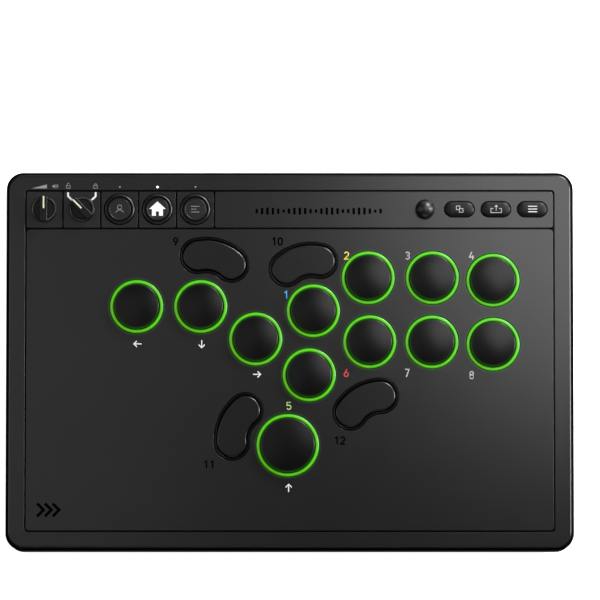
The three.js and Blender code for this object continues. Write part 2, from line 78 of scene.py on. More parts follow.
CASE_HALF_X = high("top_frame").x
CASE_HALF_Y = high("top_frame").y
CORNER_R = 9
TOP = high("button_panel").z
PANEL_Z = low("button_panel").z
PANEL_X = high("button_panel").x
PANEL_FRONT = low("button_panel").y
STRIP_BACK = high("control_strip").y
SPLIT_LOW = high("button_panel").y
SPLIT_HIGH = low("control_strip").y
GROOVE = SPLIT_HIGH - SPLIT_LOW
LEDGE_Z = low("light_guide").z
LEDGE_TOP = LEDGE_Z + 2
STRIP_Y = middle("home_button").y
TILE = 20  # pitch of the strip's square tiles
CAP_GAP = 0.45  # between a round cap and its collar
COLLAR_WALL = 1.85
COLLAR_CLEARANCE = 0.3  # between a collar and the panel
MENU_R = 8.0
PILL_LENGTH = 15.6
PILL_WIDTH = 8.0
MENU_CLEARANCE = 0.35  # round the menu buttons and pills
KNOB_HOLE_R = 3.8
STICK_HOLE_R = 4.3

# The kidney buttons' bands, bent round a centre, with their middle in the direction turn (degrees).
BAND_R = 20
BAND_HALF_ANGLE = 27.3
RECESS_HALF = 9.7  # half the width of the recess in the panel
BEZEL_HALF = 9.5
SLOT_HALF = 8.2
KIDNEY_HALF = 7.75
FLANGE_HALF = 9
KIDNEYS = {
    "cap_function_1": (-44.3, 36.0, 75.5),
    "cap_function_2": (11.3, 33.4, 103.5),
    "cap_function_3": (-10.6, -41.7, 157),
    "cap_function_4": (48.5, -38.6, 118.6),
}


# ---- outlines -------------------------------------------------------------------------------------------
# A boundary is a function that takes an inset and gives the outline's points, counterclockwise.


def arc(x, y, r, start, end, steps):
    angles = [math.radians(start + (end - start) * i / steps) for i in range(steps + 1)]
    return [(x + r * math.cos(a), y + r * math.sin(a)) for a in angles]


def disc(x, y, r, steps=96):
    return lambda inset: arc(x, y, r - inset, 0, 360, steps)[:-1]


def block(x0, y0, x1, y1, r, steps=6):
    def at(inset):
        left, bottom, right, top = x0 + inset, y0 + inset, x1 - inset, y1 - inset
        c = max(r - inset, 0.05)
        return [
            *arc(left + c, bottom + c, c, 180, 270, steps),
            *arc(right - c, bottom + c, c, 270, 360, steps),
            *arc(right - c, top - c, c, 0, 90, steps),
            *arc(left + c, top - c, c, 90, 180, steps),
        ]

    return at


def stadium(x, y, length, width, steps=24):
    def at(inset):
        reach, r = (length - width) / 2, width / 2 - inset
        return [*arc(x + reach, y, r, -90, 90, steps), *arc(x - reach, y, r, 90, 270, steps)]

    return at


def bean(x, y, turn, half):
    """The outline of a kidney button: a bent band with round ends."""

    def at(inset):
        h = half - inset
        first, last = turn - BAND_HALF_ANGLE, turn + BAND_HALF_ANGLE
        (x1, y1), (x2, y2) = arc(x, y, BAND_R, first, last, 1)
        return [
            *arc(x, y, BAND_R + h, first, last, 36),
            *arc(x2, y2, h, last, last + 180, 32)[1:],
            *arc(x, y, BAND_R - h, last, first, 24)[1:],
            *arc(x1, y1, h, first + 180, first + 360, 32)[1:-1],
        ]

    return at


def hole(boundary):
    """The same outline as the edge of a hole, so an inset makes it larger."""
    return lambda inset: boundary(-inset)[::-1]


def fixed(outline):
    return lambda inset: outline


def soft(corners, steps=5):
    """A line through corners given as (u, v) or (u, v, radius), each rounded to its radius."""
    points = []
    for i, (u, v, *r) in enumerate(corners):
        if not r:
            points.append((u, v))
            continue
        here = Vector((u, v))
        back = (Vector(corners[i - 1][:2]) - here).normalized()
        onward = (Vector(corners[i + 1][:2]) - here).normalized()
        half = back.angle(onward) / 2
        centre = here + (back + onward).normalized() * (r[0] / math.sin(half))
        start = (here + back * (r[0] / math.tan(half)) - centre).normalized()
        end = (here + onward * (r[0] / math.tan(half)) - centre).normalized()
        points += [tuple(centre + start.slerp(end, k / steps) * r[0]) for k in range(steps + 1)]
    return points


def wall(z0, z1, edge=0.0, base_edge=0.0, steps=5):
    """(inset, z) up an upright wall whose upper and lower edges are rounded."""
    turns = [math.pi / 2 * i / steps for i in range(steps + 1)]
    foot = [(base_edge * (1 - math.sin(a)), z0 + base_edge * (1 - math.cos(a))) for a in turns]
    head = [(edge * (1 - math.cos(a)), z1 - edge * (1 - math.sin(a))) for a in turns]
    return (foot if base_edge else [(0, z0)]) + (head if edge else [(0, z1)])


def oval(y, rise, w=0.25):
    """A closed counterclockwise oval with upright sides, for numerals."""
    return [*arc(0, y + rise - w, w, 0, 180, 10), *arc(0, y - rise + w, w, 180, 360, 10)]


# Strokes of each numeral, one unit high and centred on its middle: (line, whether it is closed).
DIGITS = {
    "0": [(oval(0, 0.44), True)],
    "1": [([(-0.2, 0.27), (0.08, 0.44), (0.08, -0.5)], False)],
    "2": [([*arc(0, 0.19, 0.25, 165, -35, 12), (-0.24, -0.44), (0.3, -0.44)], False)],
    "3": [([*arc(0, 0.21, 0.23, 150, -80, 12), *arc(0, -0.2, 0.24, 80, -150, 12)], False)],
    "4": [([(0.03, 0.48), (-0.26, -0.19), (0.32, -0.19)], False), ([(0.14, 0.06), (0.14, -0.5)], False)],
    "5": [([(0.26, 0.44), (-0.2, 0.44), (-0.22, 0.06), *arc(0, -0.17, 0.26, 120, -150, 14)], False)],
    "6": [(oval(-0.18, 0.26), True), ([(0.1, 0.5), (-0.2, -0.06)], False)],
    "7": [([(-0.26, 0.44), (0.26, 0.44), (-0.08, -0.5)], False)],
    "8": [(oval(-0.2, 0.245), True), (oval(0.23, 0.215, 0.21), True)],
    "9": [(oval(0.18, 0.26), True), ([(-0.1, -0.5), (0.2, 0.06)], False)],
}


# ---- meshes ---------------------------------------------------------------------------------------------


class Shell:
    """Closed surfaces in millimetres, collected for one mesh. finish is the material that new faces get."""

    def __init__(self, turn=None):
        self.points, self.faces, self.finishes, self.glow = [], [], [], []
        self.finish = 0
        self.turn = turn or (lambda point: point)

    def face(self, corners):
        self.faces.append(tuple(corners))
        self.finishes.append(self.finish)

    def ring(self, outline, z):
        first = len(self.points)
        self.points += [self.turn((x, y, z)) for x, y in outline]
        self.glow += [0.0] * len(outline)
        return list(range(first, len(self.points)))

    def band(self, lower, upper):
        for i in range(len(lower)):
            j = (i + 1) % len(lower)
            self.face((lower[i], lower[j], upper[j], upper[i]))

    def fill(self, outlines, rings, up):
        """Closes a level face: the first ring is its edge, and the others are its holes."""
        if len(rings) == 1:
            self.face(rings[0] if up else rings[0][::-1])
            return
        loops = [[Vector((x, y, 0)) for x, y in outline] for outline in outlines]
        flat, index = sum(loops, []), sum(rings, [])
        for a, b, c in tessellate_polygon(loops):
            turned_up = (flat[b] - flat[a]).cross(flat[c] - flat[a]).z > 0
            corners = (index[a], index[b], index[c])
            self.face(corners if turned_up == up else corners[::-1])

    def loft(self, boundary, section, start=True, end=True):
        """One surface through the boundary at each (inset, z) of a section."""
        rings = [self.ring(boundary(inset), z) for inset, z in section]
        for lower, upper in zip(rings, rings[1:]):
            self.band(lower, upper)
        if start:
            self.fill([], rings[:1], up=False)
        if end:
            self.fill([], rings[-1:], up=True)
        return rings

    def tube(self, rings):
        """A ring-shaped body through rings that all have as many points, the last joined to the first."""
        made = [self.ring(outline, z) for outline, z, _ in rings]
        for i, (_, _, finish) in enumerate(rings):
            self.finish = finish
            self.band(made[i - 1], made[i])
        return made

    def plate(self, outer, holes, z0, z1, edge=0.0, base_edge=0.0):
        edges = [outer, *(hole(h) for h in holes)]
        section = wall(z0, z1, edge, base_edge)
        rings = [self.loft(e, section, start=False, end=False) for e in edges]
        first, last = section[0][0], section[-1][0]
        self.fill([e(first) for e in edges], [r[0] for r in rings], up=False)
        self.fill([e(last) for e in edges], [r[-1] for r in rings], up=True)

    def lathe(self, x, y, profile, steps=96):
        """A body turned about an upright line, from a profile of (radius, z) from the axis to the axis."""
        around = [(max(r, 0.01), z) for r, z in profile]
        return self.loft(lambda inset: arc(x, y, -inset, 0, 360, steps)[:-1], [(-r, z) for r, z in around])

    def ribbon(self, line, width, z0, z1, closed=False):
        """A flat stroke of one width along a line of points. A closed line runs counterclockwise."""
        line = [Vector(p) for p in line]
        left, right = [], []
        for i, here in enumerate(line):
            steps = []
            if i or closed:
                steps.append((here - line[i - 1]).normalized())
            if i < len(line) - 1 or closed:
                steps.append((line[(i + 1) % len(line)] - here).normalized())
            along = sum(steps, Vector((0, 0))).normalized()
            across = Vector((-along.y, along.x))
            reach = width / 2 / max(abs(across.dot(Vector((-steps[0].y, steps[0].x)))), 0.4)
            left.append(tuple(here + across * reach))
            right.append(tuple(here - across * reach))
        if closed:
            self.plate(fixed(right), [fixed(left)], z0, z1)
        else:
            self.plate(fixed(right + left[::-1]), [], z0, z1)

    def numeral(self, digits, x, y, height, width, z0, z1):
        """Digits of one stroke width, centred on a point."""
        pitch = height * 0.78
        for k, digit in enumerate(digits):
            shift = x + (k - (len(digits) - 1) / 2) * pitch
            for n, (line, closed) in enumerate(DIGITS[digit]):
                points = [(shift + u * height, y + v * height) for u, v in line]
                self.ribbon(points, width, z0, z1 - 0.004 * n, closed)


def make(name, shell, finishes, sharp=32):
    """The shell as a new object, smooth but for edges sharper than an angle."""
    mesh = bpy.data.meshes.new(name)
    mesh.from_pydata([Vector(p) * MM for p in shell.points], [], shell.faces)
    mesh.polygons.foreach_set("material_index", shell.finishes)
    for finish in finishes:
        mesh.materials.append(finish)
    if any(shell.glow):
        mesh.attributes.new("glow", "FLOAT", "POINT").data.foreach_set("value", shell.glow)
    mesh.update()
    mesh.shade_smooth()
    mesh.set_sharp_from_angle(angle=math.radians(sharp))
    made = bpy.data.objects.new(name, mesh)
    bpy.context.scene.collection.objects.link(made)
    return made


def piece(name, shell, body, finishes, stands_for=(), sharp=32):
    """The shell as a piece of the object, which rides on a body and may stand for CAD nodes."""
    return settle(make(name, shell, finishes, sharp), body, stands_for)


def settle(made, body, stands_for=()):
    """Makes an object a piece: it rides on its body and stands for its CAD nodes."""
    normals = made.modifiers.new("normals", "WEIGHTED_NORMAL")
    normals.keep_sharp = True
    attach(made, body)
    if stands_for:
        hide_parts(*stands_for)
    return made


def cut(made, cutter):
    """Takes the cutter out of a mesh, and removes it."""
    modifier = made.modifiers.new("cut", "BOOLEAN")
    modifier.operation, modifier.solver, modifier.object = "DIFFERENCE", "EXACT", cutter
    bpy.context.view_layer.update()
    mesh = bpy.data.meshes.new_from_object(made.evaluated_get(bpy.context.evaluated_depsgraph_get()))
    made.modifiers.remove(modifier)
    made.data = mesh
    bpy.data.objects.remove(cutter)


# ---- materials ------------------------------------------------------------------------------------------


class Finish:
    """A material in the making, and the nodes that feed its shader."""

    def __init__(self, name):
        self.material = bpy.data.materials.new(name)
        self.material.use_nodes = True
        self.tree = self.material.node_tree
        self.shader = self.tree.nodes["Principled BSDF"]

    def feed(self, node, inputs):
        """Gives each input of a node a number, a colour or another node's output."""
        for name, value in inputs.items():
            if isinstance(value, bpy.types.NodeSocket):
                self.tree.links.new(value, node.inputs[name])
            else:
                node.inputs[name].default_value = value

    def node(self, kind, inputs, **settings):
        made = self.tree.nodes.new(kind)
        for setting, value in settings.items():
            setattr(made, setting, value)
        self.feed(made, inputs)
        return made.outputs

    def shade(self, inputs):
        self.feed(self.shader, inputs)
        return self.material

    def noise(self, size, detail, stretch=None):
        """Noise whose grains are about size millimetres across, in the piece's own coordinates."""
        place = self.node("ShaderNodeTexCoord", {})["Object"]
        if stretch:
            place = self.node("ShaderNodeMapping", {"Vector": place, "Scale": stretch})["Vector"]
        grain = {"Vector": place, "Scale": 1 / (size * MM), "Detail": detail}
        return self.node("ShaderNodeTexNoise", grain)["Fac"]

    def spread(self, source, smallest, largest):
        """Maps noise to a range of values."""
        ends = {"From Min": 0.25, "From Max": 0.75, "To Min": smallest, "To Max": largest}
        return self.node("ShaderNodeMapRange", {"Value": source, **ends})["Result"]

    def tinted(self, source, dark, light):
        mixed = {"Factor": source, "A": (*dark, 1), "B": (*light, 1)}
        return self.node("ShaderNodeMix", mixed, data_type="RGBA")["Result"]

    def times(self, source, factor):
        return self.node("ShaderNodeMath", {0: source, 1: factor}, operation="MULTIPLY")["Value"]

    def glow(self):
        """The mesh's glow attribute, which says how much light leaves each point: lamp light on the lit
        parts, painted spill and reflection on the panel and the caps.
        """
        return self.node("ShaderNodeAttribute", {}, attribute_name="glow")["Fac"]

    def bumped(self, source, depth):
        return self.node("ShaderNodeBump", {"Height": source, "Distance": depth * MM})["Normal"]


def moulded(name, color, roughness, grain=0.3, depth=0.004, vary=0.12, specular=0.5, painted_spill=None):
    """A coated or moulded surface with fine grain, cloudy tone and slightly drifting roughness.

    The last argument is the colour of painted light: emission that stands in for the rings' light spilling
    onto the surface, where its glow attribute says so.
    """
    made = Finish(name)
    dark, light = [c * (1 - vary) for c in color], [c * (1 + vary) for c in color]
    # painted light: the rings' spill is painted as emission
    if painted_spill:
        strength = made.times(made.glow(), PAINTED_SPILL_STRENGTH)
        made.shade({"Emission Color": (*painted_spill, 1), "Emission Strength": strength})
    return made.shade({
        "Base Color": made.tinted(made.spread(made.noise(22, 3), 0, 1), dark, light),
        "Roughness": made.spread(made.noise(9, 4), roughness - 0.008, roughness + 0.008),
        "Normal": made.bumped(made.noise(grain, 1.5), depth),
        "Specular IOR Level": specular,
    })


def brushed(name, color, roughness):
    """Plated metal with fine lines along X."""
    made = Finish(name)
    lines = made.noise(0.3, 3, stretch=(0.05, 1, 1))
    return made.shade({
        "Base Color": made.tinted(made.spread(lines, 0, 1), [c * 0.8 for c in color], color),
        "Roughness": made.spread(lines, roughness - 0.06, roughness + 0.06),
        "Normal": made.bumped(lines, 0.004),
        "Metallic": 1,
    })


def glowing(name, deep, bright, strength):
    """Lit clear plastic, slightly uneven, whose colour goes from deep to bright with its glow."""
    made = Finish(name)
    amount = made.times(made.glow(), made.spread(made.noise(3, 2), 0.92, 1.08))
    return made.shade({
        "Emission Color": made.tinted(amount, deep, bright),
        "Emission Strength": made.times(amount, strength),
        "Base Color": (*[c * 0.5 for c in deep], 1),
        "Roughness": 0.35,
    })


def printed(name, color, painted_glow=0.0, specular=0.3):
    """Screen print: slightly uneven ink. A print given a glow has painted light: it shines though it is no
    lamp.
    """
    made = Finish(name)
    ink = made.tinted(made.spread(made.noise(0.8, 3), 0, 1), [c * 0.86 for c in color], color)
    # painted glow: the ink itself emits light
    if painted_glow:
        made.shade({"Emission Color": ink, "Emission Strength": painted_glow})
    return made.shade({
        "Base Color": ink,
        "Roughness": 0.55,
        "Normal": made.bumped(made.noise(0.3, 2), 0.006),
        "Specular IOR Level": specular,
    })


# strength of the rings' light painted as emission on the panel and the caps
PAINTED_SPILL_STRENGTH = 0.22
CASE = moulded("case_plastic", (0.022, 0.022, 0.0225), 0.42, grain=0.45, depth=0.015)
RIM = moulded("rim_plastic", (0.004, 0.004, 0.004), 0.29)
# painted shade: a darker, duller copy of the rim's finish for the frame's leaning side and the grooves, which
# stand in shade
SHADED_SIDE = moulded("shaded_side_plastic", (0.0015, 0.0015, 0.0015), 0.3, specular=0.08)
# its emission is the rings' spill light painted onto the panel
PANEL = moulded("panel_coat", (0.004, 0.004, 0.004), 0.29, painted_spill=(0.04, 0.24, 0.004))
STRIP = moulded("strip_coat", (0.004, 0.0043, 0.005), 0.29)
# its emission is a painted reflection of the rings' green light on each cap's edge
CAP = moulded(
    "cap_plastic", (0.002, 0.002, 0.002), 0.28, grain=0.5, specular=0.22, painted_spill=(0.02, 0.22, 0.004)
)
KIDNEY = moulded("kidney_plastic", (0.003, 0.003, 0.003), 0.29, specular=0.4)
# painted shade: a darker, duller black for surfaces down in recesses and grooves
RECESS_SHADE = moulded("recess_shade_plastic", (0.0015, 0.0015, 0.0015), 0.3, specular=0.12)
KNOB = moulded("knob_plastic", (0.002, 0.002, 0.002), 0.3, grain=0.4, specular=0.32)
# painted highlight: a lighter finish for the ring along the edge of a knob's base
KNOB_PAINTED_HIGHLIGHT = moulded("knob_painted_highlight", (0.045, 0.045, 0.045), 0.35, grain=0.4)
MENU = moulded("menu_plastic", (0.002, 0.002, 0.0022), 0.38, grain=0.5, specular=0.5)
PILL = moulded("pill_plastic", (0.0025, 0.0025, 0.0027), 0.48, grain=0.5, specular=0.22)
STICK = moulded("stick_plastic", (0.002, 0.002, 0.002), 0.42, grain=0.5, specular=0.5)
SWITCH = moulded("switch_plastic", (0.04, 0.04, 0.042), 0.45)
RUBBER = moulded("rubber", (0.013, 0.013, 0.013), 0.85, grain=0.6, depth=0.05, specular=0.3)
BOARD = moulded("circuit_board", (0.01, 0.06, 0.02), 0.4, grain=2.5, depth=0.03, vary=0.3)
BATTERY = moulded("battery_wrap", (0.09, 0.13, 0.17), 0.4, grain=4, depth=0.08)
ACRYLIC = moulded("acrylic", (0.006, 0.02, 0.004), 0.4, grain=1, depth=0.01, specular=0.2)
METAL = brushed("bright_metal", (0.62, 0.63, 0.64), 0.3)
GOLD = brushed("contact_gold", (0.8, 0.6, 0.25), 0.28)
RING = glowing("ring_light", (0.02, 0.36, 0.002), (0.21, 0.8, 0.012), 0.52)
LAMP = glowing("lamp_light", (0.3, 0.3, 0.3), (1.0, 1.0, 1.0), 1.6)
HOUSE = glowing("house_light", (0.5, 0.5, 0.5), (0.95, 0.97, 1.0), 0.72)
# white print with a faint painted glow
WHITE = printed("print_white", (0.62, 0.63, 0.63), 0.1)
GREY = printed("print_grey", (0.36, 0.36, 0.355))
LINES = printed("print_lines", (0.46, 0.46, 0.46))
RIM_GREY = printed("print_rim", (0.22, 0.22, 0.215))
DIM = printed("print_dim", (0.16, 0.16, 0.16))
BLACK = printed("print_black", (0.0006, 0.0006, 0.0006), specular=0.0)
# the pointer's print has a faint painted glow
POINTER = printed("print_pointer", (0.5, 0.57, 0.38), 0.15)
INKS = {
    "yellow": printed("print_yellow", (0.62, 0.54, 0.06)),
    "blue": printed("print_blue", (0.04, 0.33, 0.62)),
    "red": printed("print_red", (0.52, 0.045, 0.04)),
    "green": printed("print_green", (0.33, 0.52, 0.17)),
    "grey": GREY,
    "black": BLACK,
}


# ---- the case -------------------------------------------------------------------------------------------

OUTER = block(-CASE_HALF_X, -CASE_HALF_Y, CASE_HALF_X, CASE_HALF_Y, CORNER_R, 16)
WALL = 2.4
LEDGE = 2.6  # reach of the ledge that the panels lie on
CASE_Z = low("lower_case").z
CASE_FLOOR = 5
PARTING = low("top_frame").z
CASE_TOP = 24
PANEL_EDGE = 0.12  # rounding of the panels' edges and of the opening's
EDGE_R = 0.9
LEAN = 1.4  # how far the frame's side leans in
LEAN_DROP = 1.0  # from the top of the frame to where its side stops leaning
JACK_R = 3
JACK_Z = 17.6


def opening_boundary():
    """The frame's opening: the panels and the groove round them."""
    return block(-PANEL_X - GROOVE, PANEL_FRONT - GROOVE, PANEL_X + GROOVE, STRIP_BACK + GROOVE, 2, 16)


def top_frame():
    """The rim: its level top, then a small rounded edge, then a steep side that leans in."""
    opening = opening_boundary()
    side = soft(
        [
            (WALL, PARTING), (0, PARTING, 0.3), (0, TOP - 3.4, 2.5), (LEAN, TOP - LEAN_DROP, 0.1),
            (LEAN + 0.08, TOP - LEAN_DROP), (LEAN + 0.08, TOP, EDGE_R), (6, TOP),
        ],
        8,
    )[1:-1]
    inside = wall(LEDGE_TOP, TOP, PANEL_EDGE)[::-1]
    # painted shade: the leaning side, and the groove's walls and ledge round the panels, get the darker,
    # duller finish; so do hidden faces
    rings = [(OUTER(inset), z, 1 if z < TOP - LEAN_DROP + 0.01 else 0) for inset, z in side]
    rings += [(opening(-inset), z, 0 if z > TOP - PANEL_EDGE + 0.01 else 1) for inset, z in inside]
    rings += [(opening(LEDGE), LEDGE_TOP, 1), (opening(LEDGE), LEDGE_Z, 1)]
    rings += [(OUTER(WALL), LEDGE_Z, 1), (OUTER(WALL), PARTING, 1)]
    shell = Shell()
    shell.tube(rings)
    bar = block(-PANEL_X, SPLIT_LOW - 0.8, PANEL_X, SPLIT_HIGH + 0.8, 0.2, 1)
    shell.finish = 1
    shell.plate(bar, [], LEDGE_Z, LEDGE_TOP)
    piece("fine_top_frame", shell, "case", [RIM, SHADED_SIDE], ["top_frame"])


def recess(shell, boundary, z0, z1, edge, steps=4):
    """Rounded mouth, walls and floor of a recess in an underside, which the mouth's edge is a hole of."""
    turns = [math.pi / 2 * i / steps for i in range(1, steps + 1)]
    mouth = [(-edge * (1 - math.sin(a)), z0 + edge * (1 - math.cos(a))) for a in turns]
    section = [(-edge, z0), *mouth, (0, z1)]
    rings = [shell.ring(boundary(inset)[::-1], z) for inset, z in section]
    for lower, upper in zip(rings, rings[1:]):
        shell.band(lower, upper)
    shell.face(rings[-1])
    return rings[0], boundary(-edge)[::-1]


def lower_case():
    """A tray with rounded lower edges, recesses for feet and screws, and two ports through the back wall."""
    shell = Shell()
    chamfer = 2
    skirt = [(5, CASE_Z), (chamfer, CASE_Z, 0.8), (0, CASE_Z + chamfer, 0.8)]
    section = [*soft([*skirt, (0, CASE_TOP, 0.35), (WALL, CASE_TOP)]), (WALL, CASE_FLOOR)]
    rings = shell.loft(OUTER, section, start=False)
    mouths = []
    for i in range(1, 5):
        foot = middle(f"rubber_foot_{i}")
        size = high(f"rubber_foot_{i}") - low(f"rubber_foot_{i}")
        around = stadium(foot.x, foot.y, size.x + 0.6, size.y + 0.6)
        mouths.append(recess(shell, around, CASE_Z, 3.5, 0.3))
        screw = middle(f"case_screw_{i}")
        mouths.append(recess(shell, disc(screw.x, screw.y, 3.0, 48), CASE_Z, 6, 0.3))
    outlines = [OUTER(section[0][0]), *(outline for _, outline in mouths)]
    shell.fill(outlines, [rings[0], *(ring for ring, _ in mouths)], up=False)
    case = make("fine_lower_case", shell, [CASE])
    for cutter in port_cutters():
        cut(case, cutter)
    case.data.shade_smooth()
    case.data.set_sharp_from_angle(angle=math.radians(32))
    settle(case, "case", ["lower_case"])


def facing_back(node, y, z):
    """Turns what is built flat so that it faces the back, at a node's middle across."""
    x = middle(node).x
    return lambda p: (x - p[0], y + p[2], z + p[1])


def port_cutters():
    """For each port, a shallow dish in the back wall and the well for its socket."""
    usb = high("usb_socket") - low("usb_socket")
    usb_turn = facing_back("usb_socket", CASE_HALF_Y, middle("usb_socket").z)
    jack_turn = facing_back("headset_jack", CASE_HALF_Y, JACK_Z)
    dish = [(0, -0.9), (0, -0.25), (-0.25, 0), (-1, 0.75)]
    made = []
    for name, turn, wide, narrow in [
        ("usb", usb_turn, stadium(0, 0, 13, 6.6), stadium(0, 0, usb.x + 0.9, usb.z + 0.9)),
        ("jack", jack_turn, disc(0, 0, JACK_R + 1.6), disc(0, 0, JACK_R + 0.4)),
    ]:
        shell = Shell(turn)
        shell.loft(wide, dish)
        made.append(make(f"{name}_dish", shell, [CASE]))
        shell = Shell(turn)
        shell.loft(narrow, [(0, -WALL - 1), (0, -1.2), (-0.3, -0.9), (-0.3, -0.5)])
        made.append(make(f"{name}_well", shell, [CASE]))
    return made


def feet():
    """Rubber feet with rounded lower edges and a groove round the sole."""
    for i in range(1, 5):
        name = f"rubber_foot_{i}"
        at, size = middle(name), high(name) - low(name)
        sole = stadium(at.x, at.y, size.x, size.y)
        section = soft(
            [
                (6.8, 0.0), (3.5, 0, 0.2), (3.3, 0.5, 0.15), (2.5, 0.5, 0.15), (2.3, 0, 0.2),
                (0.3, 0, 0.6), (0, 1.6, 0.6), (0, size.z, 0.1), (6.8, size.z),
            ]
        )
        shell = Shell()
        shell.loft(sole, section)
        piece(f"fine_{name}", shell, "case", [RUBBER], [name])


def screws():
    """Case screws, seen from below: a rounded head with a cross recess."""
    for i in range(1, 5):
        name = f"case_screw_{i}"
        at = middle(name)
        bottom, top = low(name).z, high(name).z
        half, arm = 0.32, 1.5
        corners, cross = [(arm, -half), (arm, half), (half, half)], []
        for _ in range(4):
            cross += corners
            corners = [(-v, u) for u, v in corners]
        slot = [(at.x + u, at.y + v) for u, v in cross]
        shell = Shell()
        head = disc(at.x, at.y, 2.6, 48)
        section = wall(bottom, bottom + 1.8, 0.1, 0.5)
        rings = shell.loft(head, section, start=False)
        mouth = shell.ring(slot[::-1], bottom)
        floor = shell.ring([(at.x + u * 0.5, at.y + v * 0.5) for u, v in cross][::-1], bottom + 1.1)
        shell.band(mouth, floor)
        shell.face(floor)
        shell.fill([head(section[0][0]), slot[::-1]], [rings[0], mouth], up=False)
        shell.loft(disc(at.x, at.y, 1.3, 24), wall(bottom + 1.7, top, 0.4))
        piece(f"fine_{name}", shell, "case", [METAL], [name])


def ports():
    """USB-C socket and headset socket in the back wall."""
    usb = high("usb_socket") - low("usb_socket")
    usb_turn = facing_back("usb_socket", high("usb_socket").y, middle("usb_socket").z)
    shell = Shell(usb_turn)
    outside, inside = stadium(0, 0, usb.x, usb.z), stadium(0, 0, usb.x - 0.6, usb.z - 0.6)
    shell.plate(outside, [inside], -8, 0, 0.08)
    shell.plate(outside, [], -8.4, -7.6)
    piece("fine_usb_shell", shell, "case", [METAL], ["usb_socket"])
    shell = Shell(usb_turn)
    shell.plate(block(-3.3, -0.35, 3.3, 0.35, 0.2, 4), [], -7.8, -1, 0.12)
    shell.finish = 1
    for k in range(12):
        x = (k - 5.5) * 0.5
        for y in (-0.4, 0.3):
            shell.plate(block(x - 0.13, y, x + 0.13, y + 0.1, 0.03, 1), [], -7.5, -1.6)
    piece("fine_usb_tongue", shell, "case", [SWITCH, GOLD])
    shell = Shell(facing_back("headset_jack", high("headset_jack").y, JACK_Z))
    shell.plate(disc(0, 0, JACK_R), [disc(0, 0, 1.8)], -3, 0, 0.3)
    shell.plate(block(-4.5, -3.8, 4.5, 3.8, 0.6), [disc(0, 0, 1.8)], -15, -2.4, 0.3)
    shell.plate(disc(0, 0, 2.2), [], -15.2, -13)
    shell.finish = 1
    shell.plate(disc(0, 0, 2.0), [disc(0, 0, 1.75)], -1.1, -0.4, 0.05)
    piece("fine_headset_jack", shell, "case", [SWITCH, METAL], ["headset_jack"])


# ---- the panels -----------------------------------------------------------------------------------------

# painted light: the rings' light on the panel is painted as emission out to this reach
PAINTED_SPILL_REACH = 1.2  # reach of the rings' light over the panel


def collar_radius(node):
    return radius(node) + CAP_GAP + COLLAR_WALL


def button_panel():
    """The panel; the rings' light that spills onto it is painted as emission, which fades out over a few
    level bands round each hole.
    """
    shell = Shell()
    outline = block(-PANEL_X, PANEL_FRONT, PANEL_X, SPLIT_LOW, 1.6, 8)
    section = wall(PANEL_Z, TOP, PANEL_EDGE)
    painted_spill = [(PANEL_EDGE + PAINTED_SPILL_REACH * share, TOP) for share in (0.15, 0.35, 0.6, 1)]
    crisp = wall(PANEL_Z, TOP, 0.08)
    recesses = [hole(bean(*place, RECESS_HALF)) for place in KIDNEYS.values()]
    edges = [(outline, section, 0), *((boundary, crisp, 0) for boundary in recesses)]
    for node in ROUND_CAPS:
        around = disc(middle(node).x, middle(node).y, collar_radius(node) + COLLAR_CLEARANCE)
        edges.append((hole(around), section + painted_spill, 1))
    lower, upper = [], []
    for boundary, bands, lit in edges:
        rings = shell.loft(boundary, bands, start=False, end=False)
        lower.append((boundary(bands[0][0]), rings[0]))
        upper.append((boundary(bands[-1][0]), rings[-1]))
        # painted spill light: glow on the level bands round each ring's hole
        for ring, (inset, z) in zip(rings, bands):
            reach = max(inset - PANEL_EDGE, 0) / PAINTED_SPILL_REACH
            for i in ring:
                shell.glow[i] = lit * (1 - reach) ** 2 if z > TOP - PANEL_EDGE - 0.01 else 0.0
    shell.fill([o for o, _ in lower], [r for _, r in lower], up=False)
    shell.fill([o for o, _ in upper], [r for _, r in upper], up=True)
    piece("fine_button_panel", shell, "case", [PANEL], ["button_panel"])
    for node, place in KIDNEYS.items():
        shell = Shell()
        # painted shade: the bezel down in each kidney recess gets the darker, duller finish
        shell.plate(bean(*place, BEZEL_HALF), [bean(*place, SLOT_HALF)], PANEL_Z, TOP - 0.2, 0.35)
        piece(f"bezel_{node[4:]}", shell, "case", [RECESS_SHADE])


def control_strip():
    """Five square tiles in one moulding; the floor of the grooves joins them."""
    shell = Shell()
    left = -PANEL_X
    right = high("control_strip").x
    holes = [disc(middle(node).x, STRIP_Y, KNOB_HOLE_R) for node in ("volume_knob", "lock_knob")]
    holes += [disc(middle(node).x, STRIP_Y, MENU_R + MENU_CLEARANCE) for node in MENU_ROUNDS]
    for k, opening in enumerate(holes):
        x0 = left if k == 0 else left - GROOVE / 2 + k * TILE
        x1 = right if k == len(holes) - 1 else left - GROOVE * 1.5 + (k + 1) * TILE
        tile = block(x0, SPLIT_HIGH, x1, STRIP_BACK, 0.5)
        shell.plate(tile, [opening], PANEL_Z, TOP, PANEL_EDGE / 2)
    # painted shade: the groove floor between the tiles gets the darker, duller finish
    shell.finish = 1
    base = block(left + 0.4, SPLIT_HIGH + 0.4, right - 0.4, STRIP_BACK - 0.4, 0.5)
    shell.plate(base, holes, PANEL_Z - 0.3, PANEL_Z + 0.4)
    piece("fine_control_strip", shell, "case", [STRIP, SHADED_SIDE], ["control_strip"])


def pill_boundary(node, clearance=0.0):
    at = middle(node)
    return stadium(at.x, at.y, PILL_LENGTH + 2 * clearance, PILL_WIDTH + 2 * clearance)


def plain_strip():
    """The strip beside the tiles, with holes for the thumb stick and the pills."""
    stick = middle("thumb_stick")
    holes = [disc(stick.x, stick.y, STICK_HOLE_R), *(pill_boundary(node, MENU_CLEARANCE) for node in PILLS)]
    outline = block(low("plain_strip").x, SPLIT_HIGH, PANEL_X, STRIP_BACK, 1.2, 8)
    shell = Shell()
    shell.plate(outline, holes, PANEL_Z, TOP, PANEL_EDGE)
    piece("fine_plain_strip", shell, "case", [STRIP], ["plain_strip"])


